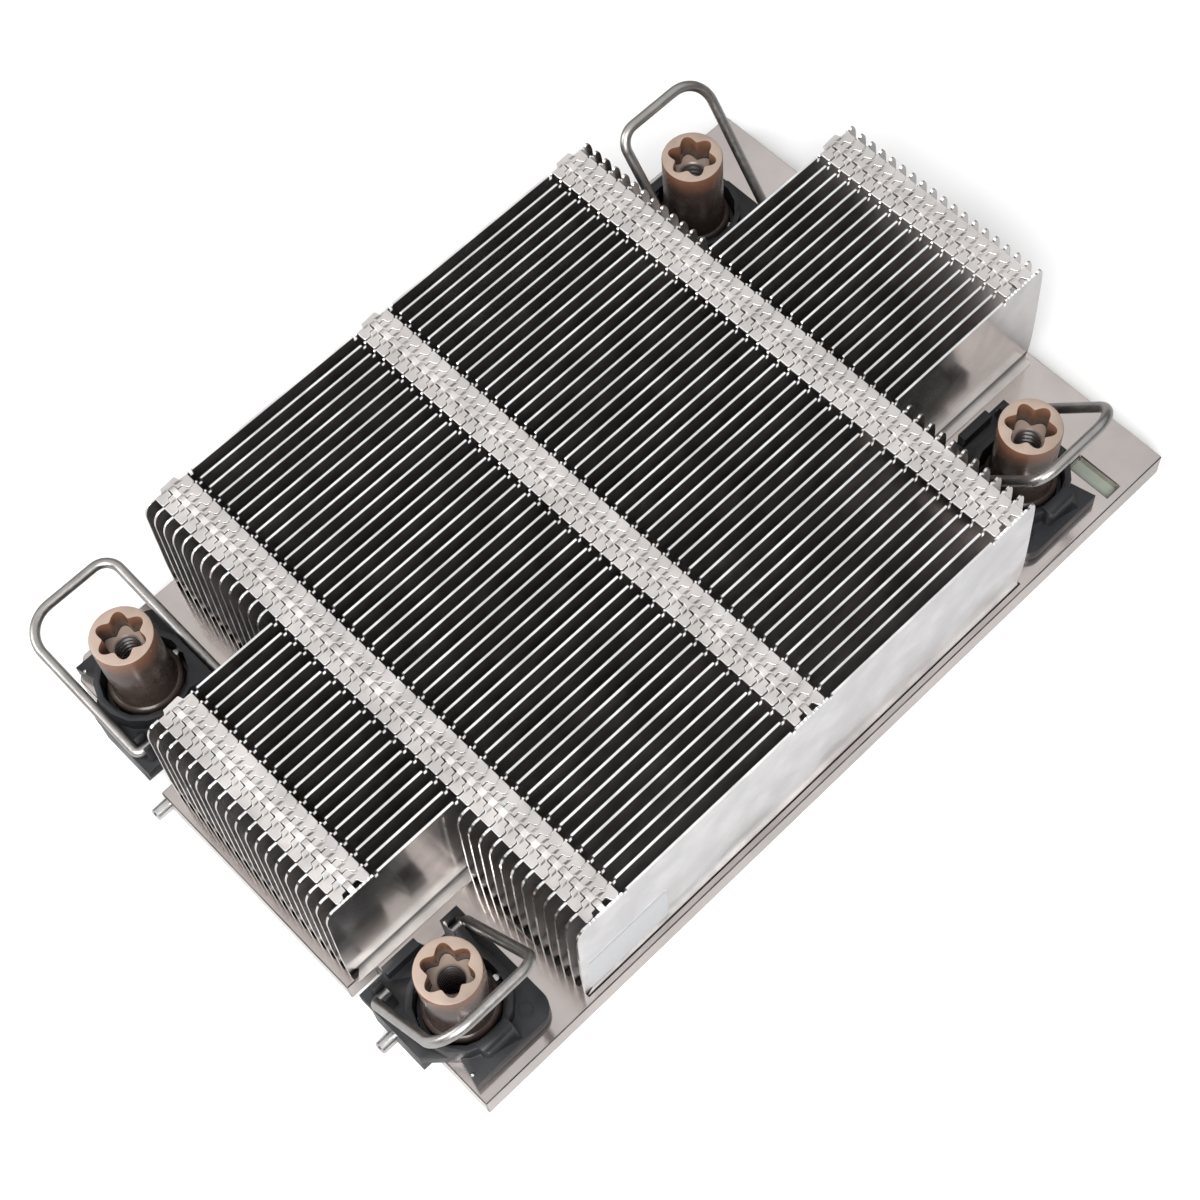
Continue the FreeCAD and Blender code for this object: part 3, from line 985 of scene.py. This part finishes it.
# A retaining ring and the ring on the floor of a well, measured from the nut's axis and the underside
RING_INNER, RING_OUTER = 4.8 * MM, 5.3 * MM
RING_LOW, RING_HIGH = 5.3 * MM, 5.7 * MM
FLOOR_RING_LOW, FLOOR_RING_HIGH = 4.06 * MM, 4.7 * MM
RING_START, RING_SWEEP = math.radians(-62), math.radians(236)
LUG_OUT, LUG_MIDDLE, LUG_TALL = 4.98 * MM, 5.95 * MM, 1.3 * MM
LUG_FOOT, LUG_HEAD = 0.45 * MM, 0.4 * MM

# Ejector marks in a holder's own outward frame: place and radius in millimetres
EJECTOR_MARKS = ((-4.9, 5.6, 0.95), (6.1, -7.9, 0.75), (-6.3, -2.2, 0.7))
HOLDER_FLOOR = 6.0 * MM
DOT_PLACE = (4.6 * MM, 6.9 * MM, HOLDER_FLOOR)


def ring_bmesh():
    """Model a retaining ring, open between its two lugs."""
    bm = bmesh.new()
    turned_band(bm, RING_INNER, RING_OUTER, RING_LOW, RING_HIGH, 48, RING_SWEEP)
    bmesh.ops.remove_doubles(bm, verts=bm.verts, dist=MERGE)
    bmesh.ops.holes_fill(bm, edges=bm.edges, sides=4)
    bmesh.ops.rotate(bm, verts=bm.verts, cent=(0, 0, 0), matrix=Matrix.Rotation(RING_START, 3, "Z"))
    arc = set(bm.faces)
    for angle in (RING_START, RING_START + RING_SWEEP):
        place = Matrix.Translation((LUG_OUT * math.cos(angle), LUG_OUT * math.sin(angle), LUG_MIDDLE))
        bmesh.ops.create_cone(bm, cap_ends=True, segments=20, radius1=LUG_FOOT, radius2=LUG_HEAD,
                              depth=LUG_TALL, matrix=place)
    for face in set(bm.faces) - arc:
        face.material_index = 1
    return bm


def floor_ring_bmesh():
    """Model the closed ring on the floor of a well."""
    bm = bmesh.new()
    turned_band(bm, RING_INNER, RING_OUTER, FLOOR_RING_LOW, FLOOR_RING_HIGH, 48)
    bmesh.ops.remove_doubles(bm, verts=bm.verts, dist=MERGE)
    return bm


class HEATSINK_OT_rings(bpy.types.Operator):
    """Model the retaining ring round each nut and the ring on the floor of its well"""
    bl_idname = "heatsink.rings"
    bl_label = "Retaining rings"

    def execute(self, context):
        steels = [plain_finish("Blackened steel"), plain_finish("Bright steel")]
        plastic = [bpy.data.materials["Black moulded plastic"]]
        for corner in CORNERS:
            for name, bm, slot, materials in (
                    ("retaining_ring", ring_bmesh(), "pins", steels),
                    ("well_floor", floor_ring_bmesh(), "holders", plastic)):
                smooth_by_angle(bm, 30)
                to_corner(bm, corner)
                new_piece(f"{name}_{corner}", bm, BODY, materials)
        return {"FINISHED"}


def marks_bmesh(pinned):
    """Model the ejector marks of one holder, and its locating dot where it has one."""
    wall, rise, sink, dot = 0.2 * MM, 0.1 * MM, 0.01 * MM, 0.28 * MM
    bm = bmesh.new()
    for u, v, radius in EJECTOR_MARKS:
        outer = radius * MM
        fresh = turned_band(bm, outer - wall, outer, 0, rise, 28)
        bmesh.ops.translate(bm, verts=fresh, vec=(u * MM, v * MM, HOLDER_FLOOR - sink))
    bmesh.ops.remove_doubles(bm, verts=bm.verts, dist=MERGE)
    if pinned:
        marks = set(bm.faces)
        bmesh.ops.create_uvsphere(bm, u_segments=14, v_segments=8, radius=dot,
                                  matrix=Matrix.Translation(DOT_PLACE))
        for face in set(bm.faces) - marks:
            face.material_index = 1
    return bm


class HEATSINK_OT_marks(bpy.types.Operator):
    """Model the ejector marks on the holders and the locating dot in the pointed corner"""
    bl_idname = "heatsink.marks"
    bl_label = "Moulding marks"

    def execute(self, context):
        materials = [bpy.data.materials["Black moulded plastic"], plain_finish("Bright steel")]
        for corner in CORNERS:
            bm = marks_bmesh(corner in PINNED_CORNERS)
            smooth_by_angle(bm, 40)
            to_corner(bm, corner)
            new_piece(f"moulding_marks_{corner}", bm, BODY, materials)
        return {"FINISHED"}


class HEATSINK_OT_pins(bpy.types.Operator):
    """Model the two dowel pins in the short edge"""
    bl_idname = "heatsink.pins"
    bl_label = "Dowel pins"

    def execute(self, context):
        low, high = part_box("edge_pins")
        radius, reach, chamfer = 0.85 * MM, 2.3 * MM, 0.2 * MM
        section = [(0, 0), (radius, 0), (radius, reach - chamfer), (radius - chamfer, reach), (0, reach)]
        flat = Matrix.Rotation(-math.pi / 2, 3, "Y")
        bm = bmesh.new()
        for place in ((-61.0 * MM, low.y + radius, 2.4 * MM), (-61.3 * MM, high.y - radius, 2.2 * MM)):
            fresh = turned(bm, section, 28)
            bmesh.ops.rotate(bm, verts=fresh, cent=(0, 0, 0), matrix=flat)
            bmesh.ops.translate(bm, verts=fresh, vec=place)
        close_up(bm)
        smooth_by_angle(bm, 30)
        new_piece("dowel_pins", bm, BODY, [plain_finish("Bright steel")], ["edge_pins"])
        return {"FINISHED"}


class HEATSINK_OT_film(bpy.types.Operator):
    """Lay the thin film in the plate's slot"""
    bl_idname = "heatsink.film"
    bl_label = "Slot film"

    def execute(self, context):
        x, y, bottom, thick = 50.8 * MM, -34.7 * MM, 2.5 * MM, 0.3 * MM
        half_x, half_y = 1.14 * MM, 3.19 * MM
        corners = ((-half_x, -half_y), (half_x, -half_y), (half_x, half_y), (-half_x, half_y))
        bm = bmesh.new()
        prism(bm, [(x + u, y + v, bottom) for u, v in corners], Z_AXIS * thick)
        bmesh.ops.recalc_face_normals(bm, faces=bm.faces)
        new_piece("slot_film", bm, BODY, [plain_finish("Greenish film")])
        return {"FINISHED"}


class HEATSINK_OT_label(bpy.types.Operator):
    """Stick a blank label on the last fin"""
    bl_idname = "heatsink.label"
    bl_label = "Blank label"

    def execute(self, context):
        settings = context.scene.heatsink_base
        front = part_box(FINS[-1])[0].y
        left, right, bottom, top = -40.9 * MM, -28.3 * MM, 4.5 * MM, 13.3 * MM
        stock, ink, line = 0.06 * MM, 0.01 * MM, 0.12 * MM
        margin, upper = 0.3 * MM, top - 0.25 * MM
        bm = bmesh.new()
        for x1, x2, z1, z2, y, thick, material in (
                (left, right, bottom, top, front, stock, 0),
                (left + margin, right - margin, upper - line, upper, front - stock, ink, 1)):
            prism(bm, [(x1, y, z1), (x2, y, z1), (x2, y, z2), (x1, y, z2)], Y_AXIS * -thick, material)
        bmesh.ops.recalc_face_normals(bm, faces=bm.faces)
        new_piece("blank_label", bm, BODY, [label_paper(settings), plain_finish("Label ink")])
        return {"FINISHED"}


# ---------------------------------------------------------------- stage

FLOOR_HALF, FLOOR_GAP = 1.5, 0.00002  # half the floor's side and its drop below the plate, in metres
# How steeply up a ray looks where the sky starts and ends brightening, and its strength at both
SKY_FADE, SKY_STRENGTH = (0.22, 0.72), (0.05, 0.78)
# Each lamp's name, its place and its share of the power
LAMPS = (("key_lamp", (-0.35, -0.3, 0.5), 1.0), ("side_lamp", (-0.45, 0.4, 0.35), 0.4))
LAMP_SIZE = 0.4


def floor_material(settings):
    """A white floor that is a little duller where the object mirrors it."""
    material, tree, shader = new_material("Studio floor", 0.0, 0.9, 0.1)
    rays = tree.nodes.new("ShaderNodeLightPath")
    blend_colours(tree, rays.outputs["Is Glossy Ray"], settings.floor_colour,
                  shade(settings.floor_colour, settings.mirrored_floor), shader.inputs["Base Color"])
    return material


def soft_lamp(name, place, size, power):
    """Add a large square lamp that faces the object."""
    data = bpy.data.lights.new(name, "AREA")
    data.shape = "SQUARE"
    data.size = size
    data.energy = power
    lamp = bpy.data.objects.new(name, data)
    lamp.location = place
    lamp.rotation_euler = (-Vector(place)).to_track_quat("-Z", "Y").to_euler()
    bpy.context.scene.collection.objects.link(lamp)


def studio_world():
    """Make a world that is white to the camera and fades from dim to bright with height for the rest."""
    world = bpy.data.worlds.new("Studio")
    world.use_nodes = True
    tree = world.node_tree
    background = tree.nodes["Background"]
    background.inputs["Color"].default_value = (1, 1, 1, 1)
    rays = tree.nodes.new("ShaderNodeLightPath")
    place = tree.nodes.new("ShaderNodeTexCoord")
    parts = tree.nodes.new("ShaderNodeSeparateXYZ")
    join(tree, place.outputs["Generated"], parts.inputs["Vector"])
    strength = tree.nodes.new("ShaderNodeMix")
    strength.inputs["B"].default_value = 1.0
    join(tree, rays.outputs["Is Camera Ray"], strength.inputs["Factor"])
    join(tree, spread(tree, parts.outputs["Z"], *SKY_FADE, *SKY_STRENGTH), strength.inputs["A"])
    join(tree, strength.outputs["Result"], background.inputs["Strength"])
    return world


class HEATSINK_OT_stage(bpy.types.Operator):
    """Set the floor, the lamps and the camera"""
    bl_idname = "heatsink.stage"
    bl_label = "Stage"

    def execute(self, context):
        scene = context.scene
        settings = scene.heatsink_stage
        bm = bmesh.new()
        bmesh.ops.create_grid(bm, x_segments=1, y_segments=1, size=FLOOR_HALF)
        bmesh.ops.translate(bm, verts=bm.verts, vec=Z_AXIS * -FLOOR_GAP)
        mesh = bpy.data.meshes.new("studio_floor")
        bm.to_mesh(mesh)
        bm.free()
        mesh.materials.append(floor_material(settings))
        floor = bpy.data.objects.new("studio_floor", mesh)
        scene.collection.objects.link(floor)

        for name, place, share in LAMPS:
            soft_lamp(name, place, LAMP_SIZE, settings.lamp_power * share)
        scene.world = studio_world()

        data = bpy.data.cameras.new("camera")
        data.lens = settings.lens
        data.sensor_width = 36
        camera = bpy.data.objects.new("camera", data)
        camera.location = settings.camera_place
        camera.rotation_euler = settings.camera_turn
        scene.collection.objects.link(camera)
        scene.camera = camera
        scene.view_settings.view_transform = "Standard"
        return {"FINISHED"}


class HEATSINK_PT_panel(bpy.types.Panel):
    """Lists the pieces of the heatsink"""
    bl_idname = "HEATSINK_PT_panel"
    bl_label = "Heatsink"
    bl_space_type = "VIEW_3D"
    bl_region_type = "UI"
    bl_category = "Heatsink"

    def draw(self, context):
        for operator in OPERATORS:
            self.layout.operator(operator.bl_idname)
        for name in SETTINGS:
            box = self.layout.box()
            group = getattr(context.scene, name)
            for key in group.bl_rna.properties.keys():
                if key not in {"rna_type", "name"}:
                    box.prop(group, key)


SETTINGS = {
    "heatsink_fins": FinSettings,
    "heatsink_nuts": NutSettings,
    "heatsink_bails": BailSettings,
    "heatsink_base": BaseSettings,
    "heatsink_stage": StageSettings,
}
OPERATORS = (
    HEATSINK_OT_stage,
    HEATSINK_OT_plate,
    HEATSINK_OT_fins,
    HEATSINK_OT_shade_sheet,
    HEATSINK_OT_holders,
    HEATSINK_OT_nuts,
    HEATSINK_OT_bails,
    HEATSINK_OT_rings,
    HEATSINK_OT_marks,
    HEATSINK_OT_pins,
    HEATSINK_OT_film,
    HEATSINK_OT_label,
)


def register():
    """Register the classes and hang the settings on the scene."""
    for cls in (*SETTINGS.values(), *OPERATORS, HEATSINK_PT_panel):
        bpy.utils.register_class(cls)
    for name, group in SETTINGS.items():
        setattr(bpy.types.Scene, name, bpy.props.PointerProperty(type=group))


def unregister():
    """Take the settings and the classes away again."""
    for name in SETTINGS:
        delattr(bpy.types.Scene, name)
    for cls in reversed((*SETTINGS.values(), *OPERATORS, HEATSINK_PT_panel)):
        bpy.utils.unregister_class(cls)


def main():
    """Build every piece."""
    register()
    bpy.ops.heatsink.stage()
    bpy.ops.heatsink.plate()
    bpy.ops.heatsink.fins()
    bpy.ops.heatsink.bond()
    bpy.ops.heatsink.holders()
    bpy.ops.heatsink.nuts()
    bpy.ops.heatsink.bails()
    bpy.ops.heatsink.rings()
    bpy.ops.heatsink.marks()
    bpy.ops.heatsink.pins()
    bpy.ops.heatsink.film()
    bpy.ops.heatsink.label()


if __name__ == "__main__":
    main()
